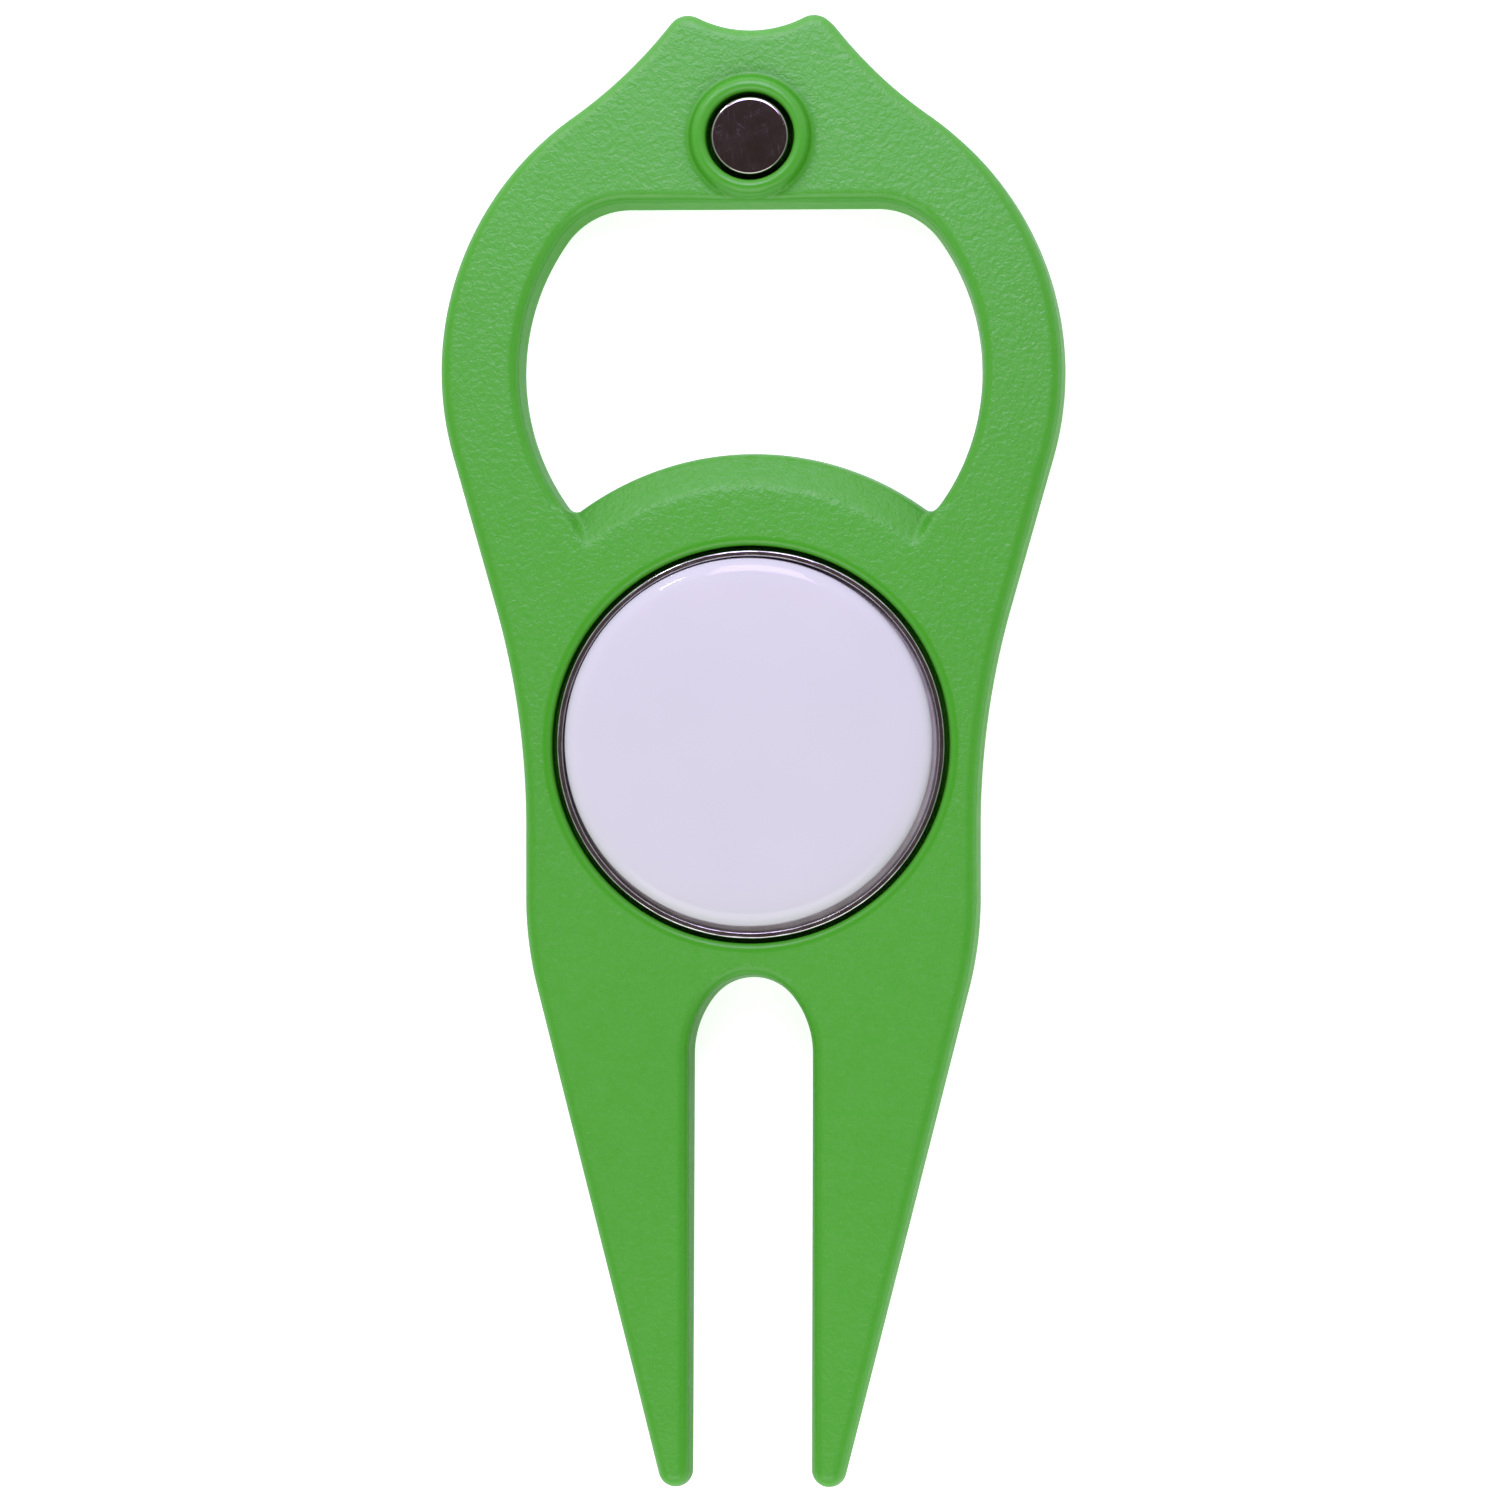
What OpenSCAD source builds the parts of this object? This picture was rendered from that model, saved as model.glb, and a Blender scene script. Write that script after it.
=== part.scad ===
// Golf divot repair tool: a forked plate with a bottle-opener ring, a club-rest crown,
// a magnet that keeps a bottle cap, and a magnetic ball marker that lifts out of its pocket.
// It lies on its back on z = 0, with the crown towards +Y, the prongs towards -Y
// and the marker facing +Z. The origin is at the middle of its length and width.

/* [Plate] */
// Overall length, from the crown's peaks to the prong tips
overall_length = 95; // [92:0.5:98]
// Thickness of the moulded plate
plate_t = 4.5; // [4.2:0.1:6]
// Radius of the rounded front edges
front_edge_r = 0.8; // [0.2:0.1:1]
// Width of the chamfer on the back edges
back_edge = 0.3; // [0.1:0.1:0.5]

/* [Opener ring] */
// Height of the ring's centre above mid-length
ring_y = 24.4; // [24:0.1:25]
// Outside radius of the ring
ring_r = 20.2; // [19.5:0.1:20.6]
// Radius of the opening inside the ring
opening_r = 14.8; // [14:0.1:15.5]
// Height of the straight opener lip above the ring's centre
lip_rise = 10.65; // [10:0.05:11]
// Radius of the opening's corners at the ends of the lip
lip_corner_r = 5; // [1:0.5:6]
// Radius, round the marker, of the guard that rests on a bottle cap
guard_r = 18.9; // [18.2:0.1:19.2]
// Radius of the opening's corners at the ends of the guard
guard_corner_r = 0.6; // [0.3:0.1:1]
// Width of the sloping bevel along the guard
bevel_w = 2.4; // [1.5:0.1:2.8]
// How far the bevel falls towards the opening
bevel_drop = 1.8; // [0.5:0.1:2.5]
// Half the width of the bevel where it meets the opening
bevel_half_w = 11.8; // [10:0.1:12]
// Angle of the bevel's end walls from the X axis, in degrees
bevel_end_angle = 63; // [50:1:85]

/* [Crown] */
// Half the distance between the crown's two peaks
peak_x = 4.07; // [3.5:0.01:4.5]
// Radius of each peak
peak_r = 1.6; // [1:0.1:2]
// Radius of the club-rest notch between the peaks
notch_r = 7.4; // [6.5:0.1:9]
// Radius of the hollow flanks between the peaks and the ring
flank_r = 30; // [26:1:40]

/* [Waist and fork] */
// Width of the waist
waist_w = 29.4; // [29:0.1:30.5]
// Height where the waist becomes narrowest
waist_y = -5; // [-8:0.5:-4]
// Radius of the hollow between the ring and the waist
waist_r = 52; // [45:1:60]
// Height where the hips start to turn in
hip_y = -9.5; // [-11:0.5:-9]
// Radius of the hips
hip_r = 24; // [18:1:28]
// Width of the slot between the prongs
slot_w = 7.6; // [7:0.1:8.4]
// Height of the slot's round end
slot_top_y = -14.7; // [-15.5:0.1:-14]
// Radius of the slot's round end
slot_end_r = 3.2; // [2.6:0.1:3.4]
// Height where the slot starts to narrow towards its end
slot_shoulder_y = -19.6; // [-21:0.1:-19.2]
// Radius of each prong's tip
tip_r = 1.15; // [1:0.05:1.4]
// Height where the prongs start to thin at the back
thin_y = -18; // [-24:1:-16]
// Thickness of the prongs at their tips
tip_t = 2.6; // [2:0.1:3.4]

/* [Cap magnet] */
// Height of the magnet's boss above mid-length
boss_y = 39.4; // [39.3:0.1:40]
// Outside radius of the boss
boss_r = 4; // [3.8:0.1:4.2]
// Height of the boss above the plate
boss_h = 1; // [0.8:0.1:1.4]
// Radius of the bore in the boss
boss_bore_r = 2.85; // [2.7:0.05:3]
// Radius of the magnet
cap_magnet_r = 2.5; // [2.3:0.05:2.55]
// Length of the magnet
cap_magnet_h = 3; // [2:0.1:3.2]
// How far the magnet's face lies below the top of the boss
cap_magnet_inset = 0.3; // [0.1:0.1:0.6]

/* [Marker pocket] */
// Height of the pocket's centre above mid-length
pocket_y = 0.3; // [0:0.1:1]
// Radius of the pocket
pocket_r = 12.8; // [12.75:0.05:13.2]
// Depth of the pocket
pocket_depth = 2; // [1.8:0.1:2.2]
// Radius of the magnet under the marker
marker_magnet_r = 5; // [4:0.5:6]
// Thickness of the magnet under the marker
marker_magnet_h = 1.3; // [1:0.1:1.3]

/* [Marker] */
// Radius of the coin
coin_r = 12.5; // [12.3:0.05:12.6]
// Thickness of the coin at its rim
coin_t = 1.8; // [1.5:0.1:1.9]
// Depth of the tray in the coin's face
tray_depth = 0.45; // [0.3:0.05:0.6]
// Radius of the label and of the resin dome on it
label_r = 11.85; // [11.5:0.05:11.9]
// How far the label and its dome sit to the left of the coin's centre and above it
label_shift = 0.15; // [0:0.05:0.15]
// Height of the resin dome
dome_h = 1; // [0.6:0.05:1.3]

/* [Hidden] */
$fn = 96;

green = "#4f9f3c";
nickel = "#aeaaa6";
resin = "#d9d3b4";

chord_error = 0.01;  // how far a flat facet may lie from its arc
through = 1;         // how far a cutter runs past a face
glue_t = 0.1;        // film under each magnet
recess_gap = 0.1;    // clearance round the marker's magnet
adhesive_t = 0.1;    // film that holds the label
label_t = 0.15;      // printed label
rim_chamfer = 0.4;   // chamfer round the pocket's mouth
coin_chamfer = 0.25; // chamfer round the coin
disc_chamfer = 0.3;  // chamfer round the magnets' faces
tray_gap = 0.25;     // gap between a centred label and the tray's wall

ring_c = [0, ring_y];
pocket_c = [0, pocket_y];
boss_top = plate_t + boss_h;
bore_floor = boss_top - cap_magnet_inset - cap_magnet_h - glue_t;
pocket_floor = plate_t - pocket_depth;
recess_floor = pocket_floor - marker_magnet_h - glue_t;
tray_z = pocket_floor + coin_t - tray_depth;
label_z = tray_z + adhesive_t;
dome_z = label_z + label_t;

// Points on an arc round c, from angle a0 to a1, moved out by d, with the first ones left out
function arc(c, r, a0, a1, d = 0, skip = 0) =
    let (n = max(2, ceil(abs(a1 - a0) / (2 * acos(1 - chord_error / r)))))
    [for (i = [skip : n]) c + (r + d) * [cos(a0 + (a1 - a0) * i / n), sin(a0 + (a1 - a0) * i / n)]];

// Direction from one point to another, in degrees
function toward(from, to) = atan2(to[1] - from[1], to[0] - from[0]);

// The point at distance ra from a and rb from b, on the right of the way from a to b
function meet(a, ra, b, rb) =
    let (d = norm(b - a), u = (b - a) / d, along = (d * d + ra * ra - rb * rb) / (2 * d))
    a + along * u + sqrt(ra * ra - along * along) * [u[1], -u[0]];

// A right-hand half outline, closed with its mirror image
function mirrored(half) =
    concat(half, [for (i = [len(half) - 1 : -1 : 0]) if (half[i][0] > 0.001) [-half[i][0], half[i][1]]]);

// Centres of the arcs in the right half of the plate, from the crown to the slot
peak_c = [peak_x, overall_length / 2 - peak_r];
notch_c = [0, peak_c[1] + sqrt(pow(notch_r + peak_r, 2) - peak_x * peak_x)];
flank_c = meet(ring_c, ring_r + flank_r, peak_c, peak_r + flank_r);
waist_c = [waist_w / 2 + waist_r, waist_y];
hip_c = [waist_w / 2 - hip_r, hip_y];
tip_c = [slot_w / 2 + tip_r, tip_r - overall_length / 2];
slot_c = [0, slot_top_y - slot_end_r];
slot_rise = slot_c[1] - slot_shoulder_y;
shoulder_r = (pow(slot_w / 2, 2) + pow(slot_rise, 2) - pow(slot_end_r, 2)) / (slot_w - 2 * slot_end_r);
shoulder_c = [slot_w / 2 - shoulder_r, slot_shoulder_y];
// Where the straight runs to the waist and down the prongs leave the ring and the hips
waist_angle = toward(ring_c, waist_c) + acos((ring_r + waist_r) / norm(waist_c - ring_c));
prong_angle = toward(hip_c, tip_c) + acos((hip_r - tip_r) / norm(tip_c - hip_c));

// The plate's right half from the notch to the hip, and from the prong's tip to the slot, moved in by d
function head_half(d) = concat(
    arc(notch_c, notch_r, -90, toward(notch_c, peak_c), d),
    arc(peak_c, peak_r, toward(peak_c, notch_c), toward(peak_c, flank_c), -d, 1),
    arc(flank_c, flank_r, toward(flank_c, peak_c) + 360, toward(flank_c, ring_c) + 360, d, 1),
    arc(ring_c, ring_r, toward(ring_c, flank_c), waist_angle, -d, 1),
    arc(waist_c, waist_r, waist_angle + 180, 180, d),
    arc(hip_c, hip_r, 0, prong_angle, -d)
);
function prong_half(d) = concat(
    arc(tip_c, tip_r, prong_angle, -180, -d),
    arc(shoulder_c, shoulder_r, 0, toward(shoulder_c, slot_c), d),
    arc(slot_c, slot_end_r, toward(shoulder_c, slot_c), 90, d, 1)
);

// Centres of the corner arcs in the right half of the opening
lip_corner_y = ring_y + lip_rise - lip_corner_r;
lip_corner_c = [sqrt(pow(opening_r - lip_corner_r, 2) - pow(lip_corner_y - ring_y, 2)), lip_corner_y];
guard_corner_c = meet(pocket_c, guard_r + guard_corner_r, ring_c, opening_r - guard_corner_r);

// The opening's outline, moved out by d
function opening_outline(d) = mirrored(concat(
    arc(lip_corner_c, lip_corner_r, 90, toward(ring_c, lip_corner_c), d),
    arc(ring_c, opening_r, toward(ring_c, lip_corner_c), toward(ring_c, guard_corner_c), d, 1),
    arc(guard_corner_c, guard_corner_r, toward(ring_c, guard_corner_c),
        toward(guard_corner_c, pocket_c), d, 1),
    arc(pocket_c, guard_r, toward(pocket_c, guard_corner_c), 90, -d, 1)
));

// Heights, and how far an outline moves at each, where the back and front edges are rounded
edge_profile = concat(
    [[0, back_edge], [back_edge, 0]],
    [for (a = [0 : 45 : 90]) [plate_t - front_edge_r * (1 - sin(a)), front_edge_r * (1 - cos(a))]]
);

// A solid through outlines of the same number of points, each at its height.
// face lists the points of each flat piece that its two ends are made of.
module loft(outlines, heights, face) {
    n = len(outlines[0]);
    top = (len(outlines) - 1) * n;
    polyhedron(
        points = [for (k = [0 : len(outlines) - 1]) for (p = outlines[k]) [p[0], p[1], heights[k]]],
        faces = concat(
            [for (f = face) [for (i = [0 : len(f) - 1]) f[(len(f) - i) % len(f)]]],
            [for (f = face) [for (i = f) top + i]],
            [for (k = [0 : n : top - n]) for (i = [0 : n - 1])
                let (j = (i + 1) % n) [k + i, k + j, k + n + j, k + n + i]]
        )
    );
}

// The plate's ends are split at the hips, into the head and the two prongs
module plate() {
    hip = len(head_half(0)) - 1;
    slot = hip + len(prong_half(0));
    n = 2 * slot;
    loft([for (e = edge_profile) mirrored(concat(head_half(e[1]), prong_half(e[1])))],
         [for (e = edge_profile) e[0]],
         [[slot, for (i = [n - hip : n + hip]) i % n],
          [for (i = [hip : slot]) i],
          [n - hip, for (i = [slot : n - hip - 1]) i]]);
}

module opening_cutter() {
    profile = concat([[-through, back_edge]], edge_profile, [[plate_t + through, front_edge_r]]);
    loft([for (e = profile) opening_outline(e[1])],
         [for (e = profile) e[0]],
         [[for (i = [0 : len(opening_outline(0)) - 1]) i]]);
}

// A disc on z = 0 with a chamfered top edge
module disc(r, h, chamfer) {
    rotate_extrude()
        polygon([[0, 0], [r, 0], [r, h - chamfer], [r - chamfer, h], [0, h]]);
}

// The part of the guard that the bevel takes away
module bevel_cutter() {
    bevel_r = guard_r - bevel_w;
    end_y = pocket_y + sqrt(guard_r * guard_r - bevel_half_w * bevel_half_w);
    run = bevel_w + through;
    low = [bevel_half_w - run / tan(bevel_end_angle), end_y - run];
    high = [bevel_half_w + run / tan(bevel_end_angle), end_y + run];
    intersection() {
        translate([0, pocket_y, plate_t])
            rotate_extrude()
                polygon([[bevel_r, 0], [bevel_r + run, -bevel_drop * run / bevel_w],
                         [bevel_r + run, through], [bevel_r, through]]);
        translate([0, 0, plate_t - 2 * bevel_drop])
            linear_extrude(2 * bevel_drop + 2 * through)
                polygon([[-low[0], low[1]], low, high, [high[0], guard_r + pocket_y + run],
                         [-high[0], guard_r + pocket_y + run], [-high[0], high[1]]]);
    }
}

// The wedge that thins the prongs, from the back
module thinning_cutter() {
    run = overall_length / 2 + thin_y;
    slope = (plate_t - tip_t) / run;
    past = run + through;
    translate([-ring_r, thin_y, 0])
        rotate([90, 0, 90])
            linear_extrude(2 * ring_r)
                polygon([[0, 0], [-through, -through], [-past, -through], [-past, slope * past]]);
}

module tool_body() {
    wall = boss_r - boss_bore_r;
    color(green)
        difference() {
            union() {
                difference() {
                    plate();
                    opening_cutter();
                }
                translate([0, boss_y, 0])
                    rotate_extrude()
                        polygon(concat([[0, bore_floor], [boss_r, bore_floor]],
                                       arc([boss_r - wall / 2, boss_top - wall / 2], wall / 2, 0, 180),
                                       [[0, boss_top - wall / 2]]));
            }
            bevel_cutter();
            thinning_cutter();
            translate([0, boss_y, bore_floor])
                cylinder(r = boss_bore_r, h = boss_top);
            translate([0, pocket_y, pocket_floor])
                cylinder(r = pocket_r, h = pocket_depth + through);
            translate([0, pocket_y, plate_t - rim_chamfer])
                cylinder(r1 = pocket_r, r2 = pocket_r + 2 * rim_chamfer, h = 2 * rim_chamfer);
            translate([0, pocket_y, recess_floor])
                cylinder(r = marker_magnet_r + recess_gap, h = pocket_depth);
        }
}

module cap_magnet() {
    color(nickel)
        translate([0, boss_y, bore_floor + glue_t])
            disc(cap_magnet_r, cap_magnet_h, disc_chamfer);
}

module cap_magnet_glue() {
    color(resin)
        translate([0, boss_y, bore_floor])
            cylinder(r = cap_magnet_r, h = glue_t);
}

module marker_magnet() {
    color(nickel)
        translate([0, pocket_y, recess_floor + glue_t])
            disc(marker_magnet_r, marker_magnet_h, disc_chamfer);
}

module marker_magnet_glue() {
    color(resin)
        translate([0, pocket_y, recess_floor])
            cylinder(r = marker_magnet_r, h = glue_t);
}

module marker_coin() {
    tray_r = label_r + tray_gap;
    lip = (coin_r - tray_r) / 2;
    color(nickel)
        translate([0, pocket_y, pocket_floor])
            rotate_extrude()
                polygon(concat([[0, 0], [coin_r - coin_chamfer, 0], [coin_r, coin_chamfer]],
                               arc([coin_r - lip, coin_t - lip], lip, 0, 180),
                               [[tray_r, coin_t - tray_depth], [0, coin_t - tray_depth]]));
}

module marker_adhesive() {
    color(resin)
        translate([-label_shift, pocket_y + label_shift, tray_z])
            cylinder(r = label_r - tray_gap, h = adhesive_t);
}

module marker_label() {
    color("#f4f2ee")
        translate([-label_shift, pocket_y + label_shift, label_z])
            cylinder(r = label_r, h = label_t);
}

module marker_dome() {
    edge_h = 0.35 * dome_h;
    rise = dome_h - edge_h;
    cap_r = (pow(label_r, 2) + rise * rise) / (2 * rise);
    color("#d9d4e8", 0.6)
        translate([-label_shift, pocket_y + label_shift, dome_z])
            rotate_extrude()
                polygon(concat([[0, 0], [label_r, 0]],
                               arc([0, dome_h - cap_r], cap_r, asin((cap_r - rise) / cap_r), 90)));
}

tool_body();
cap_magnet();
cap_magnet_glue();
marker_magnet();
marker_magnet_glue();
marker_coin();
marker_adhesive();
marker_label();
marker_dome();
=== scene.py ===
import math

import bmesh
import bpy
import numpy as np
from mathutils import Matrix, Vector
from mathutils.geometry import delaunay_2d_cdt


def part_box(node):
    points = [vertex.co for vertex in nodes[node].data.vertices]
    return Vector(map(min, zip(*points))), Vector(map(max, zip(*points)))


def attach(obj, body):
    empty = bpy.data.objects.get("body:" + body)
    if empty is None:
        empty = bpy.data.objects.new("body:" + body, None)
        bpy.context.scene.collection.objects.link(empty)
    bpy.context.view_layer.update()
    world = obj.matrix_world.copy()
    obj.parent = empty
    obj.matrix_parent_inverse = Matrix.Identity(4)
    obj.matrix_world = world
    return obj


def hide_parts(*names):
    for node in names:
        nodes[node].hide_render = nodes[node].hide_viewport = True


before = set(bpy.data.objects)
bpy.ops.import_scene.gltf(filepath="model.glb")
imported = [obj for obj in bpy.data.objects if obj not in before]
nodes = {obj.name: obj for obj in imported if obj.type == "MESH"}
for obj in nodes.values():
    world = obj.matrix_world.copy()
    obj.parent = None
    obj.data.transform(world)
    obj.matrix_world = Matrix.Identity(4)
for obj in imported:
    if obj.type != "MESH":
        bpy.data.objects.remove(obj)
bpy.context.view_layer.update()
MM = 0.001

# ---------------------------------------------------------------- places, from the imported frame, in millimetres


def box_mm(node):
    """The corners of a CAD node's box."""
    lo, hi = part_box(node)
    return np.array(lo) / MM, np.array(hi) / MM


COIN_LO, COIN_HI = box_mm("marker_coin")
LABEL_LO, LABEL_HI = box_mm("marker_label")
DOME_LO, DOME_HI = box_mm("marker_dome")
CAP_LO, CAP_HI = box_mm("cap_magnet")
DISC_LO, DISC_HI = box_mm("marker_magnet")

HALF_LENGTH = 47.5
PLATE_T = 4.5
BOSS_TOP = box_mm("tool_body")[1][2]
POCKET = (COIN_LO[:2] + COIN_HI[:2]) / 2
LABEL_C = (LABEL_LO[:2] + LABEL_HI[:2]) / 2
BOSS = (CAP_LO[:2] + CAP_HI[:2]) / 2
POCKET_FLOOR = COIN_LO[2]
TRAY_Z = box_mm("marker_adhesive")[0][2]
COIN_R = (COIN_HI[0] - COIN_LO[0]) / 2
LABEL_R = (LABEL_HI[0] - LABEL_LO[0]) / 2
CAP_R = (CAP_HI[0] - CAP_LO[0]) / 2
DISC_R = (DISC_HI[0] - DISC_LO[0]) / 2

# ---------------------------------------------------------------- outlines made of arcs

WIDEST_TURN = 7  # degrees between neighbouring points of an arc
TINY = 1e-4


def polar(angle):
    """Unit vectors at angles in degrees."""
    a = np.radians(angle)
    return np.stack([np.cos(a), np.sin(a)], -1)


def toward(a, b):
    """The direction from one point to another, in degrees."""
    return math.degrees(math.atan2(b[1] - a[1], b[0] - a[0]))


def meet(a, ra, b, rb):
    """The point at distance ra from a and rb from b, on the right of the way from a to b."""
    a, b = np.array(a, float), np.array(b, float)
    d = np.linalg.norm(b - a)
    u = (b - a) / d
    along = (d * d + ra * ra - rb * rb) / (2 * d)
    return a + along * u + math.sqrt(ra * ra - along * along) * np.array([u[1], -u[0]])


def run_points(p, q, normal, step):
    """Points between the ends of a straight run, with their normal."""
    n = max(1, round(np.linalg.norm(q - p) / step))
    t = (np.arange(1, n) / n)[:, None]
    return p + (q - p) * t, np.repeat([normal], n - 1, 0)


def half_outline(arcs, step):
    """Points and outward normals along arcs (centre, radius, from, to, side, fine), joined by straight runs.
    side is 1 where the outline bulges away from the arc's centre and -1 where it hollows in. fine scales
    the spacing of the arc's points."""
    points, normals = [], []
    for c, r, a0, a1, side, fine in arcs:
        length = math.radians(abs(a1 - a0)) * r
        n = max(2, math.ceil(length / (step * fine)), math.ceil(abs(a1 - a0) / WIDEST_TURN))
        ray = polar(np.linspace(a0, a1, n + 1))
        p, nn = np.array(c) + r * ray, side * ray
        if points:
            last = points[-1][-1]
            gap = np.linalg.norm(p[0] - last)
            if gap > TINY:
                sp, sn = run_points(last, p[0], nn[0], step)
                points.append(sp)
                normals.append(sn)
            else:
                p, nn = p[1:], nn[1:]
        points.append(p)
        normals.append(nn)
    return np.concatenate(points), np.concatenate(normals)


def closed(points, normals):
    """A right half that starts and ends on X = 0, and its mirror image, as one loop."""
    inner = points[:, 0] > TINY
    flip = np.array([-1.0, 1.0])
    return (
        np.concatenate([points, points[inner][::-1] * flip]),
        np.concatenate([normals, normals[inner][::-1] * flip]),
    )


RING_C, RING_R = (0, 24.4), 20.2
PEAK_C, PEAK_R = (4.07, HALF_LENGTH - 1.6), 1.6
NOTCH_R = 7.4
NOTCH_C = (0, PEAK_C[1] + math.sqrt((NOTCH_R + PEAK_R) ** 2 - PEAK_C[0] ** 2))
FLANK_R = 30
FLANK_C = meet(RING_C, RING_R + FLANK_R, PEAK_C, PEAK_R + FLANK_R)
WAIST_HALF, WAIST_R, HIP_R = 14.7, 52, 24
WAIST_C = (WAIST_HALF + WAIST_R, -5)
HIP_C = (WAIST_HALF - HIP_R, -9.5)
SLOT_HALF, SLOT_END_R = 3.8, 3.2
SLOT_C = (0, -14.7 - SLOT_END_R)
SHOULDER_Y = -19.6
SHOULDER_R = SLOT_HALF ** 2 + (SLOT_C[1] - SHOULDER_Y) ** 2 - SLOT_END_R ** 2
SHOULDER_R /= 2 * (SLOT_HALF - SLOT_END_R)
SHOULDER_C = (SLOT_HALF - SHOULDER_R, SHOULDER_Y)
TIP_R = 1.15
TIP_C = (SLOT_HALF + TIP_R, TIP_R - HALF_LENGTH)
WAIST_A = toward(RING_C, WAIST_C) + math.degrees(math.acos((RING_R + WAIST_R) / math.dist(RING_C, WAIST_C)))
PRONG_A = toward(HIP_C, TIP_C) + math.degrees(math.acos((HIP_R - TIP_R) / math.dist(HIP_C, TIP_C)))

PLATE_LOOP = closed(*half_outline([
    (NOTCH_C, NOTCH_R, -90, toward(NOTCH_C, PEAK_C), -1, 1),
    (PEAK_C, PEAK_R, toward(PEAK_C, NOTCH_C), toward(PEAK_C, FLANK_C), 1, 1),
    (FLANK_C, FLANK_R, toward(FLANK_C, PEAK_C) + 360, toward(FLANK_C, RING_C) + 360, -1, 1),
    (RING_C, RING_R, toward(RING_C, FLANK_C), WAIST_A, 1, 1),
    (WAIST_C, WAIST_R, WAIST_A + 180, 180, -1, 1),
    (HIP_C, HIP_R, 0, PRONG_A, 1, 1),
    (TIP_C, TIP_R, PRONG_A, -180, 1, 1),
    (SHOULDER_C, SHOULDER_R, 0, toward(SHOULDER_C, SLOT_C), -1, 1),
    (SLOT_C, SLOT_END_R, toward(SHOULDER_C, SLOT_C), 90, -1, 1),
], 0.35))
INSIDE_CAD = 0.02  # keeps the mesh inside the CAD solid's box
PLATE_LOOP = (PLATE_LOOP[0] - INSIDE_CAD * PLATE_LOOP[1], PLATE_LOOP[1])

OPENING_R, LIP_Y, LIP_CORNER_R = 14.8, 35.05, 5.0
GUARD_R, GUARD_CORNER_R = 18.9, 0.6
LIP_CORNER_C = (
    math.sqrt((OPENING_R - LIP_CORNER_R) ** 2 - (LIP_Y - LIP_CORNER_R - RING_C[1]) ** 2),
    LIP_Y - LIP_CORNER_R,
)
GUARD_CORNER_C = meet(POCKET, GUARD_R + GUARD_CORNER_R, RING_C, OPENING_R - GUARD_CORNER_R)


def opening_loop():
    """The opening's loop, with its normals pointing into the material."""
    middle, lip_end = np.array([0, LIP_Y]), np.array([LIP_CORNER_C[0], LIP_Y])
    count = 72
    lip = middle + (lip_end - middle) * (np.arange(count) / count)[:, None]
    p, nn = half_outline([
        (LIP_CORNER_C, LIP_CORNER_R, 90, toward(RING_C, LIP_CORNER_C), 1, 0.7),
        (RING_C, OPENING_R, toward(RING_C, LIP_CORNER_C), toward(RING_C, GUARD_CORNER_C), 1, 1),
        (GUARD_CORNER_C, GUARD_CORNER_R, toward(RING_C, GUARD_CORNER_C), toward(GUARD_CORNER_C, POCKET), 1, 1),
        (POCKET, GUARD_R, toward(POCKET, GUARD_CORNER_C), 90, -1, 0.8),
    ], 0.3)
    return closed(np.concatenate([lip, p]), np.concatenate([np.repeat([[0, 1]], count, 0), nn]))


OPENING_LOOP = opening_loop()

# ---------------------------------------------------------------- the front face's relief

FRONT_R, BACK_R = 0.8, 0.3
DRAFT = math.tan(math.radians(3))
FULL_DRAFT = DRAFT * 3.4  # how far a wall has leaned when it meets the front edge
RIM_R, POCKET_R, RECESS_GAP, GLUE_T = 0.45, 12.8, 0.1, 0.1
BORE_R, BOSS_R, CREST_RHO = 2.85, 4.0, 0.45
BEVEL_R, BEVEL_SLOPE = 16.5, 1.8 / 2.4
BEVEL_SOFT, BEVEL_DIP, BEVEL_DEEPEST = 0.16, 0.012, 1.95
BEVEL_END, BEVEL_END_A = np.array([11.8, 15.2]), 63
BEVEL_END_BLEND = (-0.25, 0.55)
THIN_Y, TIP_T, THIN_SOFT = -18.0, 2.6, 0.05


def smoothstep(a, b, x):
    """0 up to a, 1 from b on, and a smooth rise between them."""
    t = np.clip((x - a) / (b - a), 0, 1)
    return t * t * (3 - 2 * t)


def boss_profile():
    """Radius and height of the boss from its crest outward: a full round, then a tight hollow foot."""
    crest_r, foot_r = BORE_R + CREST_RHO, 0.16
    foot_in, foot_step = 0.06, 0.02  # how far the round stops inside the boss, and the step down to its foot
    wide, tall = BOSS_R - foot_in - crest_r, BOSS_TOP - PLATE_T
    a = np.radians(np.linspace(90, 14, 14))
    top = np.stack([crest_r + wide * np.cos(a), PLATE_T + tall * np.sin(a)], -1)
    a = np.radians(np.linspace(200, 270, 6))
    foot = np.stack([foot_r * np.cos(a), foot_r * (1 + np.sin(a))], -1)
    foot += [top[-1, 0] + foot_step - foot[0, 0], PLATE_T]
    return np.concatenate([top, foot])


BOSS_PROFILE = boss_profile()
CREST_R = BOSS_PROFILE[0, 0]
BEVEL_ALONG = polar(BEVEL_END_A)
BEVEL_OUTWARD = np.array([BEVEL_ALONG[1], -BEVEL_ALONG[0]])


def bevel_inside(x, y):
    """How far a point lies inside the bevel's end walls."""
    return -((np.abs(x) - BEVEL_END[0]) * BEVEL_OUTWARD[0] + (y - BEVEL_END[1]) * BEVEL_OUTWARD[1])


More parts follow.
